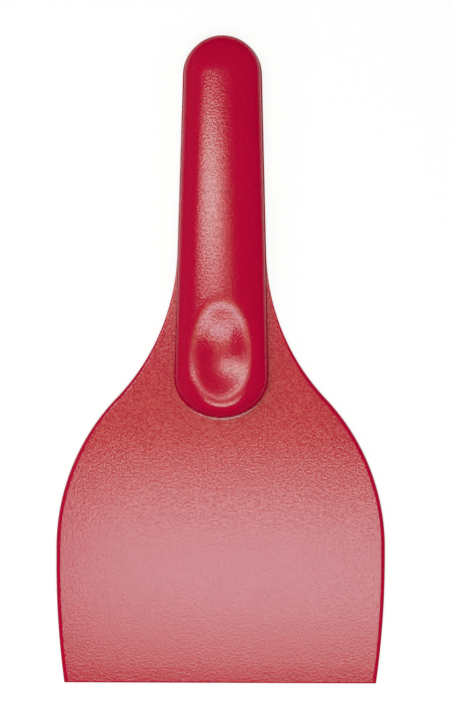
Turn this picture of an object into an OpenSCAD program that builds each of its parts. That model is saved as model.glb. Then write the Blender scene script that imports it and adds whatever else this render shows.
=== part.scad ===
// Pan scraper: a flat moulded blade whose tang runs the full length under a hollow moulded grip.
// Lengths are in mm. Y is measured from the scraping edge while a piece is built, and each piece
// is then moved so that the origin is under the middle of the scraper, on the face it rests on.

/* [Overall] */
// Length from the scraping edge to the end of the grip
total_len = 216.4; // [195:0.2:250]

/* [Blade outline] */
// Width across the widest part of the blade
blade_w = 110; // [106:1:118]
// Width of the scraping edge
edge_w = 104.4; // [94:0.2:105]
// Distance from the scraping edge to the widest part
widest_y = 43; // [34:0.5:50]
// Length of the straight stretch at the widest part
straight_len = 4.8; // [1:0.2:10]
// Radius of the rounded shoulders
shoulder_r = 72.5; // [64:0.5:78]
// Radius of the hollow necks between the shoulders and the grip
neck_r = 72.6; // [64:0.2:80]

/* [Blade thickness] */
// Thickness of the tang and the shoulders
tang_t = 3; // [2.4:0.1:4]
// Thickness where the bevel of the scraping edge starts
bevel_t = 1.15; // [1.05:0.05:2.2]
// Thickness of the scraping edge
lip_t = 1; // [0.8:0.05:1.2]
// Length of the bevel behind the scraping edge
bevel_len = 5; // [3:0.5:10]
// Flat land between the end of the blade's taper and the foot of the grip
land_len = 0; // [0:0.5:12]
// Width of the rounding along the long edges of the blade
side_round = 1.1; // [0.6:0.1:2]
// Rounding of the lip above the scraping edge
lip_round = 0.3; // [0.15:0.05:0.35]
// Rounding round the underside
under_round = 0.25; // [0.1:0.05:0.3]

/* [Grip outline] */
// Distance from the scraping edge to the foot of the grip
foot_y = 88; // [84:0.2:94]
// Length of the rounded foot
foot_len = 14.8; // [9:0.2:15.4]
// Width between the side lines of the grip, where its foot becomes straight
grip_w = 31.9; // [29:0.1:34]
// Taper of each side line in degrees
grip_taper = 1.56; // [0.6:0.02:2]
// Part of the tang that shows beyond the base of the grip
tang_margin = 0.1; // [0.05:0.05:0.4]
// Radius of the flare at the base of the grip
flare_r = 0.5; // [0.2:0.05:0.8]
// Reach of the flare along the blade, at the foot of the grip
foot_flare = 1.2; // [0.8:0.1:2]

/* [Grip shell] */
// Height of the grip above the tang at its foot
foot_h = 9.3; // [8.5:0.1:14]
// Height of the grip above the tang at its end
end_h = 9.5; // [8:0.1:12]
// Height of the upright part of the grip's wall, above the flare
upright_h = 3.7; // [0.2:0.1:4.4]
// Wall thickness of the grip
wall = 2.2; // [1.4:0.1:2.8]
// Fullness of the grip's cross-section, where 2 is an ellipse
section_full = 2; // [2:0.05:3]
// Fullness of the foot in side view, where 2 is an ellipse
foot_full = 3.2; // [2:0.1:5]

/* [Thumb dish] */
// Distance from the scraping edge to the middle of the dish
dish_y = 110.1; // [106:0.1:118]
// Length of the dish
dish_len = 35.8; // [24:0.2:38]
// Width of the dish
dish_w = 22.6; // [16:0.2:24]
// Depth of the dish below the ridge of the grip
dish_depth = 2.4; // [1:0.1:3.2]
// Fullness of the dish's outline, where 2 is an ellipse
dish_full = 2; // [2:0.05:3]
// Softness of the dish's rim towards the end of the grip, where 0 is crisp
rim_soft = 0.3; // [0:0.05:1.2]
// Softness of the dish's rim towards the foot of the grip, where 0 is crisp
foot_rim_soft = 0.35; // [0:0.05:1.2]

/* [Stiffening ribs] */
// Thickness of each rib on the tang
rib_t = 1.5; // [1:0.1:2.5]
// Clearance between the ribs and the inside of the grip
rib_fit = 0.3; // [0.15:0.05:0.6]
// Number of ribs across the grip
cross_ribs = 5; // [2:1:7]

/* [Hidden] */

blade_colour = [0.76, 0.33, 0.36];
grip_colour = [0.69, 0.01, 0.2];

// Flank of the blade: an arc from the scraping edge to the straight stretch. Its bend is one over
// its radius: 0 makes it straight, and less makes it hollow
half_w = blade_w / 2;
flank_top = widest_y - straight_len / 2;
flank_in = (blade_w - edge_w) / 2;
flank_bend = 2 * flank_in / (flank_top ^ 2 + flank_in ^ 2);

// Side line of the grip: every point p on it has side_n * p equal to side_c
foot_top = foot_y + foot_len;
side_n = [cos(grip_taper), sin(grip_taper)];
side_along = [-side_n[1], side_n[0]];
side_c = side_n * [grip_w / 2, foot_top];

// Shoulder arc, and the neck arc that touches both it and the side line
shoulder_c = [half_w - shoulder_r, widest_y + straight_len / 2];
neck_off = side_c + neck_r - side_n * shoulder_c;
neck_up = sqrt((shoulder_r + neck_r) ^ 2 - neck_off ^ 2);
neck_c = shoulder_c + neck_off * side_n + neck_up * side_along;
joint_a = atan2(neck_c[1] - shoulder_c[1], neck_c[0] - shoulder_c[0]);
joint_y = shoulder_c[1] + shoulder_r * sin(joint_a);
neck_top = neck_c - neck_r * side_n;

// Round end of the grip, tangent to both side lines
end_r = (side_c - side_n[1] * total_len) / (1 - side_n[1]);
end_y = total_len - end_r;

// The edge rounding narrows along this share of the neck, so that the grip sits on a flat tang
fade_share = 0.8;
fade_len = fade_share * (neck_top[1] - joint_y);

// Base of the grip: its wall stands back from the edge of the tang by the flare, which ends in a low lip
wall_in = tang_margin + flare_r;
flare_lip = 0.2;
base_h = flare_lip + flare_r + upright_h;

// Blend between the dish and the skin round it, as a share of its depth, and the row where it ends
rim_blend = 0.35;
dish_top = dish_y + sqrt(1 + rim_blend) * dish_len / 2;

// Thickness reaches that of the tang here
full_y = foot_y - land_len;

// Steps round each arc and along each straight stretch of the outline
flank_steps = 8;
shoulder_steps = 14;
neck_steps = 14;
side_steps = 6;
tip_steps = 12;
round_steps = 4;

// Rows and columns of the grip's two skins
foot_rows = 18;
dish_rows = 20;
mid_rows = 13;
tip_rows = 11;
outer_cols = 44;
inner_cols = 24;
flare_steps = 3;

// Points along the top of a rib, and how deep its root reaches into the tang
rib_steps = 24;
rib_root = 0.5;

// Rises smoothly from 0 to 1 as t goes from 0 to 1
function smooth(t) = let (u = min(1, max(0, t))) u * u * (3 - 2 * u);

// Superellipse: height over a half axis of 1 at distance u, from 1 at the middle to 0 at the rim
function dome(u, full) = (1 - min(1, abs(u)) ^ full) ^ (1 / full);

// List without its first item
function rest(list) = [for (i = [1:1:len(list) - 1]) list[i]];

// Two triangles for each cell of a strip, left out where two corners are one point
function cell(a, b, c, d) = [
    for (t = [[a, b, c], [a, c, d]])
        if (t[0] != t[1] && t[1] != t[2] && t[2] != t[0]) t
];

// Top of the blade above the underside, at a distance y from the scraping edge
function lip_drop(y) = y < lip_round ? lip_round - sqrt(lip_round ^ 2 - (lip_round - y) ^ 2) : 0;
function blade_top(y) =
    y < bevel_len
        ? lip_t + (bevel_t - lip_t) * y / bevel_len - lip_drop(y)
        : bevel_t + (tang_t - bevel_t) * min(1, (y - bevel_len) / (full_y - bevel_len));

// Width and depth of the rounding of the upper edge
function round_w(y) = side_round + (tang_margin - side_round) * smooth((y - joint_y) / fade_len);
function round_h(y) = min(round_w(y), 0.6 * (blade_top(y) - under_round));

// Right half of the outline, from the scraping edge to the tip, as [point, outward normal]
function arc(c, r, from, to, steps, out) = [
    for (i = [0:steps])
        let (a = from + (to - from) * i / steps, n = [cos(a), sin(a)]) [c + r * n, out * n]
];
flank_ys = concat(
    [for (a = [0:30:90]) lip_round * (1 - cos(a))],
    [for (i = [0:flank_steps]) bevel_len + (flank_top - bevel_len) * i / flank_steps]
);
function flank_sag(d) = flank_bend * d ^ 2 / (1 + sqrt(1 - (flank_bend * d) ^ 2));
flank = [for (y = flank_ys) [[half_w - flank_sag(flank_top - y), y], [1, 0]]];
tip_start = [0, end_y] + end_r * side_n;
side = [
    for (i = [1:side_steps]) [neck_top + (tip_start - neck_top) * i / side_steps, side_n]
];
outline = concat(
    flank,
    arc(shoulder_c, shoulder_r, 0, joint_a, shoulder_steps, 1),
    rest(arc(neck_c, neck_r, joint_a + 180, grip_taper + 180, neck_steps, -1)),
    side,
    rest(arc([0, end_y], end_r, grip_taper, 90, tip_steps, 1))
);
tip = len(outline) - 1;

// Whole outline, set in by a distance and raised to a height, as a chain that starts at the right
function ring_half(in, z) = [
    for (s = outline) let (p = s[0] - in(s[0][1]) * s[1]) [p[0], p[1], z(p[1])]
];
function ring(in, z) = let (half = ring_half(in, z)) concat(
    half,
    [for (i = [tip - 1:-1:0]) [-half[i][0], half[i][1], half[i][2]]]
);

// Rings of the blade, from the underside to the top face
rings = concat(
    [
        for (a = [0:45:90])
            ring(function (y) under_round * (1 - sin(a)), function (y) under_round * (1 - cos(a)))
    ],
    [
        for (i = [0:round_steps]) let (a = 90 * i / round_steps)
            ring(
                function (y) round_w(y) * (1 - cos(a)),
                function (y) blade_top(y) - round_h(y) * (1 - sin(a))
            )
    ]
);

module plate() {
    n = 2 * tip + 1;
    last = len(rings) - 1;
    top = last * n;
    wall_faces = [
        for (k = [0:last - 1], i = [0:n - 2])
            each cell(k * n + i, (k + 1) * n + i, (k + 1) * n + i + 1, k * n + i + 1)
    ];
    under_faces = [for (i = [0:tip - 1]) each cell(i, i + 1, n - 2 - i, n - 1 - i)];
    top_faces = [
        for (i = [0:tip - 1]) each cell(top + i, top + n - 1 - i, top + n - 2 - i, top + i + 1)
    ];
    edge_face = concat([for (k = [0:last]) k * n + n - 1], [for (k = [last:-1:0]) k * n]);
    polyhedron(
        points = [for (r = rings) each r],
        faces = concat(wall_faces, under_faces, top_faces, [edge_face])
    );
}

// Outline of the grip's wall, set in by a distance, or out over the flare where that is less than 0:
// half its width at y, and its rows from foot to tip
function foot_span(in) = foot_len - foot_flare - in * (in < 0 ? foot_flare / flare_r : 1);
function tip_span(in) = end_r - wall_in - in;
function side_half(y, in) = (side_c - wall_in - in - side_n[1] * y) / side_n[0];
function grip_half(y, in) =
    y < foot_top ? side_half(y, in) * dome((foot_top - y) / foot_span(in), 2)
    : y > end_y + tip_span(in) * side_n[1] ? tip_span(in) * dome((y - end_y) / tip_span(in), 2)
    : side_half(y, in);
function grip_ys(in) = concat(
    [for (i = [0:foot_rows]) foot_top - foot_span(in) * cos(90 * i / foot_rows)],
    [for (i = [1:dish_rows]) foot_top + (dish_top - foot_top) * i / dish_rows],
    [for (i = [1:mid_rows]) dish_top + (end_y - dish_top) * i / mid_rows],
    [for (i = [1:tip_rows]) end_y + tip_span(in) * sin(90 * i / tip_rows)]
);
rows = foot_rows + dish_rows + mid_rows + tip_rows;

// Height of the ridge above the base of the grip, with its rounded foot and end
function ridge_h(y) = foot_h + (end_h - foot_h) * (y - foot_y) / (total_len - foot_y) - base_h;
function end_dome(y, in) =
    y < foot_top ? dome((foot_top - y) / foot_span(in), foot_full)
    : y > end_y ? dome((y - end_y) / tip_span(in), section_full)
    : 1;

// How much of its depth the dish has at a point: 1 in the middle, and 0 beyond its rim. Its power
// goes from that of the rim by the foot to that of the far rim
function blended(b) = b > rim_blend ? b : b > -rim_blend ? (b + rim_blend) ^ 2 / (4 * rim_blend) : 0;
function dish(x, y) = let (
    across = abs(2 * x / dish_w),
    along = 2 * (y - dish_y) / dish_len,
    far = max(0.001, (across ^ dish_full + abs(along) ^ dish_full) ^ (1 / dish_full)),
    soft = foot_rim_soft + (rim_soft - foot_rim_soft) * smooth((1 + along / far) / 2)
) blended(1 - far ^ 2) ^ (1 + soft);

// Height of the grip's skin above its base, set in by a distance; u is the share of its half width
function skin_h(u, y, in) =
    (ridge_h(y) - in) * end_dome(y, in) * dome(u, section_full)
    * (1 - dish_depth / (ridge_h(dish_y) - in) * dish(u * grip_half(y, in), y));

// One skin of the grip: its foot, its rows from left to right, and its tip
function skin(in, cols) = let (ys = grip_ys(in)) concat(
    [[0, ys[0], tang_t + base_h]],
    [
        for (r = [1:rows - 1], c = [0:cols])
            let (a = 180 * c / cols, u = -sign(cos(a)) * abs(cos(a)) ^ (2 / section_full))
                [u * grip_half(ys[r], in), ys[r], tang_t + base_h + skin_h(u, ys[r], in)]
    ],
    [[0, ys[rows], tang_t + base_h]]
);
function skin_index(r, c, cols) =
    r == 0 ? 0
    : r == rows ? 1 + (rows - 1) * (cols + 1)
    : 1 + (r - 1) * (cols + 1) + c;
function skin_rim(cols) = concat(
    [for (r = [0:rows]) skin_index(r, cols, cols)],
    [for (r = [rows - 1:-1:1]) skin_index(r, 0, cols)]
);

// Closed loop round the grip, in the order of skin_rim
function loop(in, z) = let (ys = grip_ys(in)) concat(
    [for (y = ys) [grip_half(y, in), y, z]],
    [for (r = [rows - 1:-1:1]) [-grip_half(ys[r], in), ys[r], z]]
);

module shell() {
    outer = skin(0, outer_cols);
    inner = skin(wall, inner_cols);
    loops = concat(
        [
            for (i = [0:flare_steps]) let (a = 90 * i / flare_steps)
                loop(-flare_r * (1 - cos(a)), tang_t + flare_lip + flare_r * (1 - sin(a)))
        ],
        [loop(-flare_r, tang_t), loop(wall, tang_t)]
    );
    count = 2 * rows;
    first_loop = len(outer);
    first_inner = first_loop + count * len(loops);
    rims = concat(
        [skin_rim(outer_cols)],
        [for (k = [0:len(loops) - 1]) [for (i = [0:count - 1]) first_loop + k * count + i]],
        [[for (i = skin_rim(inner_cols)) first_inner + i]]
    );
    outer_index = function (r, c) skin_index(r, c, outer_cols);
    inner_index = function (r, c) first_inner + skin_index(r, c, inner_cols);
    outer_faces = [
        for (r = [0:rows - 1], c = [0:outer_cols - 1])
            each cell(
                outer_index(r, c), outer_index(r + 1, c),
                outer_index(r + 1, c + 1), outer_index(r, c + 1)
            )
    ];
    inner_faces = [
        for (r = [0:rows - 1], c = [0:inner_cols - 1])
            each cell(
                inner_index(r, c), inner_index(r, c + 1),
                inner_index(r + 1, c + 1), inner_index(r + 1, c)
            )
    ];
    rim_faces = [
        for (k = [0:len(rims) - 2], i = [0:count - 1]) let (j = (i + 1) % count)
            each cell(rims[k][i], rims[k][j], rims[k + 1][j], rims[k + 1][i])
    ];
    polyhedron(
        points = concat(outer, [for (l = loops) each l], inner),
        faces = concat(outer_faces, inner_faces, rim_faces)
    );
}

// Ribs stand on the tang and follow the inside of the grip at a clearance
rib_in = wall + rib_fit;
rib_base = tang_t - rib_root;

module long_rib() {
    from = foot_top - foot_span(rib_in);
    to = end_y + tip_span(rib_in);
    top = [
        for (i = [0:2 * rib_steps]) let (y = from + (to - from) * (1 - cos(90 * i / rib_steps)) / 2)
            [y, tang_t + base_h + skin_h(0, y, rib_in)]
    ];
    rotate([90, 0, 90])
        linear_extrude(rib_t, center = true)
            polygon(concat([[from, rib_base]], top, [[to, rib_base]]));
}

module cross_rib(y) {
    half = grip_half(y, rib_in);
    top = [
        for (i = [0:rib_steps]) let (u = -cos(180 * i / rib_steps))
            [u * half, tang_t + base_h + skin_h(u, y, rib_in)]
    ];
    translate([0, y, 0])
        rotate([90, 0, 0])
            linear_extrude(rib_t, center = true)
                polygon(concat([[-half, rib_base]], top, [[half, rib_base]]));
}

module blade() {
    color(blade_colour)
        translate([0, -total_len / 2, 0])
            union() {
                plate();
                long_rib();
                for (i = [0:cross_ribs - 1])
                    cross_rib(foot_top + (end_y - foot_top) * (i + 0.5) / cross_ribs);
            }
}

module handle() {
    color(grip_colour)
        translate([0, -total_len / 2, 0])
            shell();
}

blade();
handle();
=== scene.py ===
"""Looks of the pan scraper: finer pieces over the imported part, plastics, studio light and camera."""

import math

import bpy
import numpy as np
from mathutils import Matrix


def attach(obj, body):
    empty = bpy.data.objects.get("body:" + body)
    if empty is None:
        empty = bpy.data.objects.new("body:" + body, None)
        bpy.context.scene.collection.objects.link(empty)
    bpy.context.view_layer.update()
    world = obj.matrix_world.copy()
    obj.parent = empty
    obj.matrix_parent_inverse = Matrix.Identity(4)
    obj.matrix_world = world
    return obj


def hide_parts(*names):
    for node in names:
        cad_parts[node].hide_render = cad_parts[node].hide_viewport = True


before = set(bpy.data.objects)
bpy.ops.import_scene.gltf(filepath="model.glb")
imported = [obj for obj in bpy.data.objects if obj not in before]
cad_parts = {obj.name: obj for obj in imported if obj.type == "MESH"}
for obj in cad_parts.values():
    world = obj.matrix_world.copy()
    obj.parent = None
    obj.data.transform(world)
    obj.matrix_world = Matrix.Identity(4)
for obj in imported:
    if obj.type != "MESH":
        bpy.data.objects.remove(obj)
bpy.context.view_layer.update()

MM = 0.001
QUARTER = math.pi / 2

# Outline of the blade, in mm from the scraping edge
TOTAL_LEN = 216.4
BLADE_W = 110.0
EDGE_W = 104.4
WIDEST_Y = 43.0
STRAIGHT_LEN = 4.8
SHOULDER_R = 72.5
NECK_R = 72.6

# Thickness of the blade and the rounding of its edges
TANG_T = 3.0
BEVEL_T = 1.15
LIP_T = 1.0
BEVEL_LEN = 5.0
LAND_LEN = 0.0
BEND_HALF = 12.0
SIDE_ROUND = 1.35
LIP_ROUND = 0.4
UNDER_ROUND = 0.25

# Share of the neck over which the rounding fades, and share of the thickness that it may take
FADE_SHARE = 0.8
ROUND_SHARE = 0.6

# Grip shell
FOOT_Y = 88.0
FOOT_LEN = 14.8
GRIP_W = 31.9
GRIP_TAPER = 1.56
TANG_MARGIN = 0.1
FOOT_H = 9.3
END_H = 9.4999
UPRIGHT_H = 3.7
WALL = 2.2
SECTION_FULL = 2.0
FOOT_FULL = 3.2

# Flare at the rim of the grip: a shallow hollow whose foot sits a little in the tang
FLARE_R = 0.5
FOOT_FLARE = 1.2
FLARE_LIP = 0.2
RIM_STEP = 0.04
RIM_RISE = 0.16
RIM_SUNK = 0.07

# Thumb dish
DISH_Y = 110.1
DISH_LEN = 35.8
DISH_W = 22.6
DISH_DEPTH = 2.4
DISH_FULL = 2.0
RIM_SOFT = 0.3
FOOT_RIM_SOFT = 0.35
RIM_BLEND = 0.35
NEAR_MIDDLE = 0.001

# Ribs on the tang, inside the grip
RIB_T = 1.5
RIB_FIT = 0.3
RIB_ROOT = 0.5
CROSS_RIBS = 5
RIB_STEPS = 40

# Fineness of the meshes
LIP_STEPS = 4
FLANK_STEPS = 24
ARC_STEPS = 44
SIDE_STEPS = 16
TIP_STEPS = 40
UNDER_STEPS = 3
ROUND_STEPS = 8
FOOT_ROWS = 40
DISH_ROWS = 80
MID_ROWS = 30
TIP_ROWS = 36
OUTER_COLS = 120
INNER_COLS = 40
FLARE_STEPS = 8
SHARP_ANGLE = math.radians(40)

# Width of the narrow faces that keep the flats beside a rounding flat
FLAT_RIM = 0.15

# Colour and specular level of both plastics
CRIMSON = (0.414, 0.0006, 0.03, 1.0)
GLOSS = 0.25

# Stretch in which most values of a fine and of a coarse noise lie, and the octaves of each
FINE_CORE = (0.35, 0.65)
COARSE_CORE = (0.3, 0.7)
FINE_DETAIL = 1.0
COARSE_DETAIL = 3.0

# Grain of the blade: features to a metre, swing of its colour, roughness, strength and height of its bump
BLADE_GRAIN = 1500.0
BLADE_COARSE = 60.0
BLADE_TINT = 0.06
BLADE_ROUGH = (0.138, 0.146)
BLADE_BUMP = (0.55, 0.00006)

# Swing of the blade's gloss, in m from the frame's origin: worn near the edge, satin from there on
WORN_Y = -0.06
SATIN_Y = -0.03
WORN_SWING = 0.08
SATIN_SWING = 0.45

# Orange peel of the grip, by the same measures
GRIP_GRAIN = 1400.0
GRIP_COARSE = 50.0
GRIP_TINT = 0.08
GRIP_ROUGH = (0.128, 0.138)
GRIP_BUMP = (0.6, 0.00005)
GRIP_SWING = 0.25

# Floor, just under the part
PALE = (0.88, 0.83, 0.88, 1.0)
FLOOR_GLOW = 0.8
FLOOR_SIZE = 12
FLOOR_Z = -0.0002

# Colours of the lamps at their core and rim, linear
COOL_CORE = (0.671, 1.000, 1.053, 1.0)
AMBER_RIM = (0.914, 0.655, 0.055, 1.0)
MILD_CORE = (0.559, 1.000, 0.889, 1.0)
ROSE_RIM = (0.817, 0.266, 0.206, 1.0)
AMBER = (0.919, 1.000, 0.464, 1.0)
EMBER = (1.150, 1.000, 0.400, 1.0)

# Height of the softboxes in m, and how closely a cut keeps to their corners
LIGHT_H = 0.66
CORNER_POWER = 4.0

# Soft fill lamp
FILL_SIZE = 5.0
FILL_H = 1.2
FILL_LEVEL = 0.56

# Radiance of the room, its horizon and its left wall, and the directions between which they fade
ROOM = 0.005
HORIZON = 0.02
HORIZON_FADE = (0.1, 0.22)
WALL_LEFT = 0.15
WALL_FADE = (-0.5, -0.8)

# Camera: place in m over the plate, roll in radians, length of its view in m, sensor in mm
CAMERA_H = 0.65
CAMERA_X = 0.00171
CAMERA_Y = 0.00112
CAMERA_ROLL = 0.0038
FIELD_LEN = 0.2379
SENSOR = 36.0

# Places that follow from the sizes
HALF_W = BLADE_W / 2
FLANK_TOP = WIDEST_Y - STRAIGHT_LEN / 2
FLANK_IN = (BLADE_W - EDGE_W) / 2
FLANK_BEND = 2 * FLANK_IN / (FLANK_TOP**2 + FLANK_IN**2)
FOOT_TOP = FOOT_Y + FOOT_LEN
SIDE_N = np.array([math.cos(math.radians(GRIP_TAPER)), math.sin(math.radians(GRIP_TAPER))])
SIDE_ALONG = np.array([-SIDE_N[1], SIDE_N[0]])
SIDE_C = float(SIDE_N @ np.array([GRIP_W / 2, FOOT_TOP]))
SHOULDER_C = np.array([HALF_W - SHOULDER_R, WIDEST_Y + STRAIGHT_LEN / 2])
NECK_OFF = SIDE_C + NECK_R - float(SIDE_N @ SHOULDER_C)
NECK_UP = math.sqrt((SHOULDER_R + NECK_R) ** 2 - NECK_OFF**2)
NECK_C = SHOULDER_C + NECK_OFF * SIDE_N + NECK_UP * SIDE_ALONG
JOINT_A = math.atan2(NECK_C[1] - SHOULDER_C[1], NECK_C[0] - SHOULDER_C[0])
JOINT_Y = SHOULDER_C[1] + SHOULDER_R * math.sin(JOINT_A)
NECK_TOP = NECK_C - NECK_R * SIDE_N
END_R = (SIDE_C - SIDE_N[1] * TOTAL_LEN) / (1 - SIDE_N[1])
END_Y = TOTAL_LEN - END_R
WALL_IN = TANG_MARGIN + FLARE_R
BASE_H = FLARE_LIP + FLARE_R + UPRIGHT_H
SKIN_BASE = TANG_T + BASE_H
FULL_Y = FOOT_Y - LAND_LEN
DISH_TOP = DISH_Y + math.sqrt(1 + RIM_BLEND) * DISH_LEN / 2
RIB_IN = WALL + RIB_FIT
RIB_BASE = TANG_T - RIB_ROOT


def smooth(t):
    """Soft step from 0 to 1."""
    u = np.clip(t, 0, 1)
    return u * u * (3 - 2 * u)


def dome(u, full):
    """Superellipse height, 1 in the middle and 0 at the rim."""
    return (1 - np.minimum(1, np.abs(u)) ** full) ** (1 / full)


def blade_top(y):
    """Top of the blade over the underside; its taper starts in a soft bend beside the grip's foot."""
    near = np.maximum(LIP_ROUND - y, 0)
    drop = np.where(y < LIP_ROUND, LIP_ROUND - np.sqrt(LIP_ROUND**2 - near**2), 0)
    bevel = LIP_T + (BEVEL_T - LIP_T) * y / BEVEL_LEN - drop
    below = np.maximum(FULL_Y + BEND_HALF - y, 0)
    run = np.where(below < 2 * BEND_HALF, below**2 / (4 * BEND_HALF), below - BEND_HALF)
    taper = TANG_T - (TANG_T - BEVEL_T) * run / (FULL_Y - BEVEL_LEN)
    return np.where(y < BEVEL_LEN, bevel, taper)


def round_w(y):
    """Width of the rounding along the blade's upper edge, which fades out along the neck."""
    fade = FADE_SHARE * (NECK_TOP[1] - JOINT_Y)
    return SIDE_ROUND + (TANG_MARGIN - SIDE_ROUND) * smooth((y - JOINT_Y) / fade)


def round_h(y):
    """Height of that rounding, which leaves an upright part under it."""
    return np.minimum(round_w(y), ROUND_SHARE * (blade_top(y) - UNDER_ROUND))


def arc(centre, radius, start, stop, steps, out):
    """Points and outward normals round an arc; angles in radians."""
    angle = np.linspace(start, stop, steps + 1)
    normal = np.stack([np.cos(angle), np.sin(angle)], axis=1)
    return centre + radius * normal, out * normal


def flank_points():
    """The bowed flank, from the scraping edge to the straight stretch at the widest place."""
    lip_ys = LIP_ROUND * (1 - np.cos(np.linspace(0, QUARTER, LIP_STEPS + 1)))
    behind_lip = LIP_ROUND + FLAT_RIM * np.array([1, 4])
    ys = np.concatenate(
        [lip_ys, behind_lip, np.linspace(BEVEL_LEN, FLANK_TOP, FLANK_STEPS + 1)]
    )
    d = FLANK_TOP - ys
    sag = FLANK_BEND * d**2 / (1 + np.sqrt(1 - (FLANK_BEND * d) ** 2))
    return np.stack([HALF_W - sag, ys], axis=1)


def outline():
    """Right half of the outline, from the scraping edge to the tip, with its normals."""
    taper = math.radians(GRIP_TAPER)
    flank = flank_points()
    shoulder, shoulder_n = arc(SHOULDER_C, SHOULDER_R, 0, JOINT_A, ARC_STEPS, 1)
    neck, neck_n = arc(NECK_C, NECK_R, JOINT_A + math.pi, taper + math.pi, ARC_STEPS, -1)
    tip_start = np.array([0, END_Y]) + END_R * SIDE_N
    share = np.linspace(0, 1, SIDE_STEPS + 1)[1:, None]
    side = NECK_TOP + (tip_start - NECK_TOP) * share
    tip, tip_n = arc(np.array([0, END_Y]), END_R, taper, QUARTER, TIP_STEPS, 1)
    points = np.concatenate([flank, shoulder, neck[1:], side, tip[1:]])
    normals = np.concatenate(
        [np.tile([1.0, 0.0], (len(flank), 1)), shoulder_n, neck_n[1:],
         np.tile(SIDE_N, (len(side), 1)), tip_n[1:]]
    )
    points[-1, 0] = 0
    return points, normals


def ring(points, normals, inset, height):
    """The whole outline, set in and raised, as a chain that starts at the right."""
    none = 0 * points[:, 1]
    half = points - (inset + none)[:, None] * normals
    half = np.column_stack([half, height + none])
    left = half[-2::-1] * [-1, 1, 1]
    return np.concatenate([half, left])


def strip_faces(index, closed=False):
    """Quads between the rows of an index table, with corners that coincide left out."""
    faces = []
    rows, cols = index.shape
    for r in range(rows - 1):
        for c in range(cols if closed else cols - 1):
            n = (c + 1) % cols
            corners = [index[r, c], index[r + 1, c], index[r + 1, n], index[r, n]]
            face = [int(v) for i, v in enumerate(corners) if v != corners[i - 1]]
            if len(face) > 2:
                faces.append(face)
    return faces


def mesh_piece(name, points, faces, material):
    """Mesh object from points in mm that are measured from the scraping edge."""
    shifted = (np.asarray(points) - [0, TOTAL_LEN / 2, 0]) * MM
    mesh = bpy.data.meshes.new(name)
    mesh.from_pydata(shifted.tolist(), [], faces)
    mesh.shade_smooth()
    mesh.set_sharp_from_angle(angle=SHARP_ANGLE)
    mesh.materials.append(material)
    piece = bpy.data.objects.new(name, mesh)
    bpy.context.scene.collection.objects.link(piece)
    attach(piece, "root")
    return piece


def blade_rings():
    """Chains round the blade, from the flat of its underside over the rim to the flat of its top."""
    points, normals = outline()
    y = points[:, 1]
    rings = [ring(points, normals, UNDER_ROUND + FLAT_RIM, 0)]
    for a in np.linspace(0, QUARTER, UNDER_STEPS + 1):
        inset = UNDER_ROUND * (1 - math.sin(a))
        height = UNDER_ROUND * (1 - math.cos(a))
        rings.append(ring(points, normals, inset, height))
    for a in np.linspace(0, QUARTER, ROUND_STEPS + 1):
        inset = round_w(y) * (1 - math.cos(a))
        height = blade_top(y) - round_h(y) * (1 - math.sin(a))
        rings.append(ring(points, normals, inset, height))
    rings.append(ring(points, normals, round_w(y) + FLAT_RIM, blade_top(y)))
    return rings


def blade_mesh():
    """Points and faces of the blade: its rim, its two flats and its front."""
    rings = blade_rings()
    count = len(rings[0])
    index = np.arange(len(rings) * count).reshape(len(rings), count)
    faces = [face[::-1] for face in strip_faces(index)]
    for i in range(count // 2):
        j = count - 1 - i
        faces.append([index[0, i], index[0, j], index[0, j - 1], index[0, i + 1]])
        faces.append([index[-1, i], index[-1, i + 1], index[-1, j - 1], index[-1, j]])
    faces.append(list(index[::-1, 0]) + list(index[:, -1]))
    faces = [[int(v) for v in dict.fromkeys(face)] for face in faces]
    return np.concatenate(rings), [face for face in faces if len(face) > 2]


def foot_span(inset):
    """Length of the grip's round foot, set in by a distance; the flare reaches further there."""
    reach = FOOT_FLARE / FLARE_R if inset < 0 else 1
    return FOOT_LEN - FOOT_FLARE - inset * reach


def tip_span(inset):
    """Radius of the grip's round end, set in by a distance."""
    return END_R - WALL_IN - inset


def grip_half(y, inset):
    """Half the width of the grip's wall, set in by a distance."""
    side = (SIDE_C - WALL_IN - inset - SIDE_N[1] * y) / SIDE_N[0]
    foot = side * dome((FOOT_TOP - y) / foot_span(inset), 2)
    tip = tip_span(inset) * dome((y - END_Y) / tip_span(inset), 2)
    tip_from = END_Y + tip_span(inset) * SIDE_N[1]
    return np.where(y < FOOT_TOP, foot, np.where(y > tip_from, tip, side))


def grip_ys(inset):
    """Rows of the grip from its foot to its tip."""
    foot = FOOT_TOP - foot_span(inset) * np.cos(np.linspace(0, QUARTER, FOOT_ROWS + 1))
    dish_ys = np.linspace(FOOT_TOP, DISH_TOP, DISH_ROWS + 1)[1:]
    mid = np.linspace(DISH_TOP, END_Y, MID_ROWS + 1)[1:]
    tip = END_Y + tip_span(inset) * np.sin(np.linspace(0, QUARTER, TIP_ROWS + 1))[1:]
    return np.concatenate([foot, dish_ys, mid, tip])


def ridge_h(y):
    """Height of the grip's ridge over the top of its upright part."""
    return FOOT_H + (END_H - FOOT_H) * (y - FOOT_Y) / (TOTAL_LEN - FOOT_Y) - BASE_H


def end_dome(y, inset):
    """Share of its height that the ridge has along the grip: it comes down at both ends."""
    foot = dome((FOOT_TOP - y) / foot_span(inset), FOOT_FULL)
    tip = dome((y - END_Y) / tip_span(inset), SECTION_FULL)
    return np.where(y < FOOT_TOP, foot, np.where(y > END_Y, tip, 1))


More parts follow.
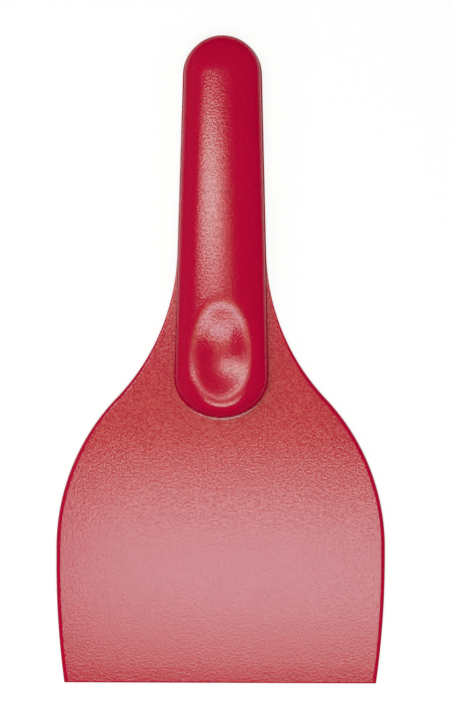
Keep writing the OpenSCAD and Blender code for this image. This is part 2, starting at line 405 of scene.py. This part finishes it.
def dish(x, y):
    """Share of its depth that the dish has: 1 at its deepest point, 0 beyond its rim."""
    across = np.abs(2 * x / DISH_W)
    along = 2 * (y - DISH_Y) / DISH_LEN
    far = (across**DISH_FULL + np.abs(along) ** DISH_FULL) ** (1 / DISH_FULL)
    far = np.maximum(far, NEAR_MIDDLE)
    soft = FOOT_RIM_SOFT + (RIM_SOFT - FOOT_RIM_SOFT) * smooth((1 + along / far) / 2)
    b = 1 - far**2
    rim = np.where(b > -RIM_BLEND, (b + RIM_BLEND) ** 2 / (4 * RIM_BLEND), 0)
    return np.where(b > RIM_BLEND, b, rim) ** (1 + soft)


def skin_h(u, y, inset):
    """Height of the grip's skin over its base; u is the share of its half width."""
    depth = DISH_DEPTH / (ridge_h(DISH_Y) - inset)
    sunk = 1 - depth * dish(u * grip_half(y, inset), y)
    return (ridge_h(y) - inset) * end_dome(y, inset) * dome(u, SECTION_FULL) * sunk


def skin(inset, cols):
    """Points and index table of one skin of the grip."""
    ys = grip_ys(inset)
    angle = np.linspace(0, math.pi, cols + 1)
    u = -np.sign(np.cos(angle)) * np.abs(np.cos(angle)) ** (2 / SECTION_FULL)
    y = ys[1:-1, None]
    width = u[None, :] * grip_half(y, inset)
    height = SKIN_BASE + skin_h(u[None, :], y, inset)
    body = np.stack([width, y + 0 * width, height], axis=2).reshape(-1, 3)
    ends = [[0, ys[0], SKIN_BASE], [0, ys[-1], SKIN_BASE]]
    points = np.concatenate([ends[:1], body, ends[1:]])
    index = np.empty((len(ys), cols + 1), dtype=int)
    index[0] = 0
    index[1:-1] = 1 + np.arange(len(body)).reshape(-1, cols + 1)
    index[-1] = len(points) - 1
    return points, index


def rim_of(index):
    """The rim of a skin, up its right side and back down its left."""
    return np.concatenate([index[:, -1], index[-2:0:-1, 0]])


def grip_loop(inset, height):
    """Closed loop round the grip in the order of rim_of."""
    ys = grip_ys(inset)
    half = grip_half(ys, inset)
    right = np.column_stack([half, ys])
    left = np.column_stack([-half, ys])[-2:0:-1]
    flat = np.concatenate([right, left])
    return np.column_stack([flat, np.full(len(flat), height)])


def rim_loops():
    """Loops down the flare at the grip's rim and in under its wall."""
    loops = []
    for t in np.linspace(0, 1, FLARE_STEPS + 1):
        loops.append(grip_loop(-FLARE_R * t, TANG_T + RIM_STEP + RIM_RISE * (1 - t) ** 2))
    foot = TANG_T - RIM_SUNK
    return loops + [grip_loop(-FLARE_R, foot), grip_loop(WALL, foot)]


def shell_mesh():
    """Points and faces of the grip: its outer skin, its rim and its inner skin."""
    outer, outer_index = skin(0, OUTER_COLS)
    inner, inner_index = skin(WALL, INNER_COLS)
    loops = rim_loops()
    count = len(loops[0])
    inner_index = inner_index + len(outer) + count * len(loops)
    table = len(outer) + np.arange(count * len(loops)).reshape(len(loops), count)
    rims = np.vstack([rim_of(outer_index), table, rim_of(inner_index)])
    faces = [face[::-1] for face in strip_faces(outer_index)]
    faces += strip_faces(inner_index)
    faces += [face[::-1] for face in strip_faces(rims, closed=True)]
    return np.concatenate([outer] + loops + [inner]), faces


def slab(profile, place):
    """Slab of a rib's thickness from a closed profile; place turns profile points into space."""
    count = len(profile)
    points = [place(p, t) for t in (-RIB_T / 2, RIB_T / 2) for p in profile]
    faces = [list(range(count))[::-1], list(range(count, 2 * count))]
    for i in range(count):
        j = (i + 1) % count
        faces.append([i, j, count + j, count + i])
    return points, faces


def long_rib():
    """Rib along the middle of the tang, under the ridge from foot to end."""
    start = FOOT_TOP - foot_span(RIB_IN)
    stop = END_Y + tip_span(RIB_IN)
    share = (1 - np.cos(np.linspace(0, math.pi, 2 * RIB_STEPS + 1))) / 2
    ys = start + (stop - start) * share
    top = [(y, SKIN_BASE + float(skin_h(0.0, y, RIB_IN))) for y in ys]
    profile = [(start, RIB_BASE)] + top + [(stop, RIB_BASE)]
    return slab(profile, lambda p, t: (t, p[0], p[1]))


def cross_rib(y):
    """Rib across the tang, under the skin from side to side."""
    half = float(grip_half(np.array(y), RIB_IN))
    us = -np.cos(np.linspace(0, math.pi, RIB_STEPS + 1))
    top = [(u * half, SKIN_BASE + float(skin_h(u, y, RIB_IN))) for u in us]
    profile = [(-half, RIB_BASE)] + top + [(half, RIB_BASE)]
    return slab(profile, lambda p, t: (p[0], y - t, p[1]))


def ribs_mesh():
    """One rib along the tang and several across it, at a clearance inside the grip."""
    slabs = [long_rib()]
    for i in range(CROSS_RIBS):
        slabs.append(cross_rib(FOOT_TOP + (END_Y - FOOT_TOP) * (i + 0.5) / CROSS_RIBS))
    points = []
    faces = []
    for slab_points, slab_faces in slabs:
        faces += [[i + len(points) for i in face] for face in slab_faces]
        points += slab_points
    return points, faces


class Nodes:
    """Short calls for building one node tree."""

    def __init__(self, tree):
        self.tree = tree
        tree.nodes.clear()

    def add(self, kind, values=(), **settings):
        """New node; a value that is a socket is linked, and any other is set."""
        node = self.tree.nodes.new(kind)
        for key, value in settings.items():
            setattr(node, key, value)
        for key, value in dict(values).items():
            if isinstance(value, bpy.types.NodeSocket):
                self.tree.links.new(value, node.inputs[key])
            else:
                node.inputs[key].default_value = value
        return node

    def noise(self, vector, scale, detail):
        values = {"Vector": vector, "Scale": scale, "Detail": detail}
        return self.add("ShaderNodeTexNoise", values).outputs["Fac"]

    def span(self, value, low, high, to_low, to_high):
        """Value from low to high turned into to_low to to_high, and held beyond."""
        values = {"Value": value, "From Min": low, "From Max": high}
        values.update({"To Min": to_low, "To Max": to_high})
        return self.add("ShaderNodeMapRange", values).outputs["Result"]

    def calc(self, operation, a, b):
        node = self.add("ShaderNodeMath", {0: a, 1: b}, operation=operation)
        return node.outputs[0]

    def tint(self, share, low, high):
        """Colour low where share is 0 and high where it is 1."""
        node = self.add("ShaderNodeMix", {0: share}, data_type="RGBA")
        low_in, high_in = [s for s in node.inputs if s.type == "RGBA"]
        low_in.default_value = low
        high_in.default_value = high
        return [s for s in node.outputs if s.type == "RGBA"][0]


def scaled(colour, factor):
    return tuple(c * factor for c in colour[:3]) + (1.0,)


def new_material(name):
    material = bpy.data.materials.new(name)
    material.use_nodes = True
    return material, Nodes(material.node_tree)


def crimson_shader(n, grain, tint, rough, gloss, bump):
    """Crimson plastic whose colour and bump follow its grain."""
    share = n.span(grain, *FINE_CORE, 0.0, 1.0)
    strength, distance = bump
    relief = {"Strength": strength, "Distance": distance, "Height": grain}
    values = {
        "Base Color": n.tint(share, scaled(CRIMSON, 1 - tint), scaled(CRIMSON, 1 + tint)),
        "Roughness": rough,
        "Specular IOR Level": gloss,
        "Normal": n.add("ShaderNodeBump", relief).outputs["Normal"],
    }
    shader = n.add("ShaderNodeBsdfPrincipled", values)
    n.add("ShaderNodeOutputMaterial", {"Surface": shader.outputs["BSDF"]})


def blade_material():
    """Satin plastic with a spark-eroded grain, which is worn smoother near the scraping edge."""
    material, n = new_material("blade_plastic")
    place = n.add("ShaderNodeTexCoord").outputs["Object"]
    grain = n.noise(place, BLADE_GRAIN, FINE_DETAIL)
    coarse = n.noise(place, BLADE_COARSE, COARSE_DETAIL)
    along = n.add("ShaderNodeSeparateXYZ", {"Vector": place}).outputs["Y"]
    swing = n.span(along, WORN_Y, SATIN_Y, WORN_SWING, SATIN_SWING)
    swung = n.calc("MULTIPLY", swing, n.span(grain, *FINE_CORE, -1.0, 1.0))
    gloss = n.calc("MULTIPLY", GLOSS, n.calc("ADD", 1.0, swung))
    rough = n.span(coarse, *COARSE_CORE, *BLADE_ROUGH)
    crimson_shader(n, grain, BLADE_TINT, rough, gloss, BLADE_BUMP)
    return material


def grip_material():
    """Soft-gloss plastic with a fine orange peel."""
    material, n = new_material("handle_plastic")
    place = n.add("ShaderNodeTexCoord").outputs["Object"]
    peel = n.noise(place, GRIP_GRAIN, FINE_DETAIL)
    coarse = n.noise(place, GRIP_COARSE, COARSE_DETAIL)
    gloss = n.span(peel, *FINE_CORE, (1 - GRIP_SWING) * GLOSS, (1 + GRIP_SWING) * GLOSS)
    rough = n.span(coarse, *COARSE_CORE, *GRIP_ROUGH)
    crimson_shader(n, peel, GRIP_TINT, rough, gloss, GRIP_BUMP)
    return material


def floor_material():
    """Pale floor that keeps the shadow and reads nearly white to the camera."""
    material, n = new_material("floor")
    path = n.add("ShaderNodeLightPath").outputs
    seen = n.calc("MAXIMUM", path["Is Camera Ray"], path["Is Glossy Ray"])
    seen = n.calc("MAXIMUM", seen, path["Is Transmission Ray"])
    share = n.calc("MULTIPLY", seen, FLOOR_GLOW)
    lit = n.add("ShaderNodeBsdfDiffuse", {"Color": PALE}).outputs["BSDF"]
    glow = n.add("ShaderNodeEmission", {"Strength": 1.0}).outputs["Emission"]
    mix = n.add("ShaderNodeMixShader", {0: share, 1: lit, 2: glow})
    n.add("ShaderNodeOutputMaterial", {"Surface": mix.outputs["Shader"]})
    return material


def add_pieces():
    """The three visible pieces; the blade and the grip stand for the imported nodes."""
    blade_plastic = blade_material()
    handle_plastic = grip_material()
    blade = mesh_piece("blade_plate", *blade_mesh(), blade_plastic)
    ribs = mesh_piece("tang_ribs", *ribs_mesh(), blade_plastic)
    grip = mesh_piece("grip_shell", *shell_mesh(), handle_plastic)
    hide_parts("blade")
    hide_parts("handle")


def add_floor():
    bpy.ops.mesh.primitive_plane_add(size=FLOOR_SIZE, location=(0, 0, FLOOR_Z))
    floor = bpy.context.object
    floor.name = "floor"
    floor.data.materials.append(floor_material())


def lamp_share(n, fall, cut):
    """Share of its level that a softbox has: it falls off to its rim, and cut takes off its corners."""
    spot = n.add("ShaderNodeNewGeometry").outputs["Parametric"]
    axes = n.add("ShaderNodeSeparateXYZ", {"Vector": spot}).outputs
    squares = []
    shares = []
    for axis, drop in zip((axes["X"], axes["Y"]), fall):
        off = n.span(axis, 0.0, 1.0, -1.0, 1.0)
        squares.append(n.calc("MULTIPLY", off, off))
        shares.append(n.calc("SUBTRACT", 1.0, n.calc("MULTIPLY", drop, squares[-1])))
    corner = n.calc("MULTIPLY", squares[0], n.calc("POWER", squares[1], CORNER_POWER))
    share = n.calc("SUBTRACT", n.calc("MULTIPLY", *shares), n.calc("MULTIPLY", cut, corner))
    return n.calc("MAXIMUM", share, 0.0)


def add_softbox(name, place, size, level, fall, rim, core, turn=0.0, cut=0.0):
    """Area light over the plate, facing down, whose colour goes from core to rim as it falls off."""
    lamp = bpy.data.lights.new(name, "AREA")
    lamp.shape = "RECTANGLE"
    lamp.size, lamp.size_y = size
    lamp.energy = level * size[0] * size[1] * math.pi
    lamp.use_nodes = True
    n = Nodes(lamp.node_tree)
    share = lamp_share(n, fall, cut)
    values = {"Color": n.tint(share, rim, core), "Strength": share}
    glow = n.add("ShaderNodeEmission", values)
    n.add("ShaderNodeOutputLight", {"Surface": glow.outputs["Emission"]})
    light = bpy.data.objects.new(name, lamp)
    light.location = (*place, LIGHT_H)
    light.rotation_euler = (0, 0, turn)
    bpy.context.scene.collection.objects.link(light)


def add_fill():
    """Large soft lamp overhead that lifts the colour and leaves no highlight."""
    lamp = bpy.data.lights.new("fill", "AREA")
    lamp.size = FILL_SIZE
    lamp.energy = FILL_LEVEL * FILL_SIZE**2 * math.pi
    light = bpy.data.objects.new("fill", lamp)
    light.location = (0, 0, FILL_H)
    light.visible_glossy = False
    bpy.context.scene.collection.objects.link(light)


def add_lamps():
    """Softboxes over the blade and the grip, two warm ones between them, and the fill."""
    add_softbox(
        "softbox_blade_side",
        place=(0.0167, -0.1725),
        size=(0.2895, 0.1945),
        turn=-0.03,
        level=16.40,
        fall=(0.12, 0.95),
        rim=AMBER_RIM,
        core=COOL_CORE,
    )
    add_softbox(
        "softbox_grip_side",
        place=(-0.1536, 0.108),
        size=(0.4819, 0.166),
        turn=-0.0971,
        level=19.75,
        fall=(0.95, 0.949),
        cut=0.9,
        rim=ROSE_RIM,
        core=MILD_CORE,
    )
    add_softbox(
        "glow_corner",
        place=(0.054, 0.076),
        size=(0.094, 0.12),
        level=15.00,
        fall=(0.9, 0.9),
        rim=AMBER,
        core=EMBER,
    )
    add_softbox(
        "glow_between",
        place=(-0.015, -0.0365),
        size=(0.21, 0.078),
        level=3.30,
        fall=(-0.6, 0.9),
        rim=AMBER,
        core=AMBER,
    )
    add_fill()


def set_world():
    """Dark room with a pale line at its horizon and a faint wall on the left."""
    world = bpy.data.worlds.new("room")
    bpy.context.scene.world = world
    world.use_nodes = True
    n = Nodes(world.node_tree)
    direction = n.add("ShaderNodeTexCoord").outputs["Generated"]
    axes = n.add("ShaderNodeSeparateXYZ", {"Vector": direction}).outputs
    horizon = n.span(axes["Z"], *HORIZON_FADE, HORIZON, 0.0)
    left = n.span(axes["X"], *WALL_FADE, 0.0, WALL_LEFT)
    total = n.calc("ADD", n.calc("MAXIMUM", horizon, left), ROOM)
    background = n.add("ShaderNodeBackground", {"Color": (1, 1, 1, 1), "Strength": total})
    n.add("ShaderNodeOutputWorld", {"Surface": background.outputs["Background"]})


def add_camera():
    """Camera straight over the plate, turned a little about its own axis as in the photograph."""
    data = bpy.data.cameras.new("camera")
    data.sensor_width = SENSOR
    data.lens = SENSOR * CAMERA_H / FIELD_LEN
    camera = bpy.data.objects.new("camera", data)
    camera.location = (CAMERA_X, CAMERA_Y, CAMERA_H + TANG_T * MM)
    camera.rotation_euler = (0, 0, CAMERA_ROLL)
    bpy.context.scene.collection.objects.link(camera)
    bpy.context.scene.camera = camera


add_pieces()
add_floor()
add_lamps()
set_world()
add_camera()
bpy.context.scene.view_settings.view_transform = "Standard"
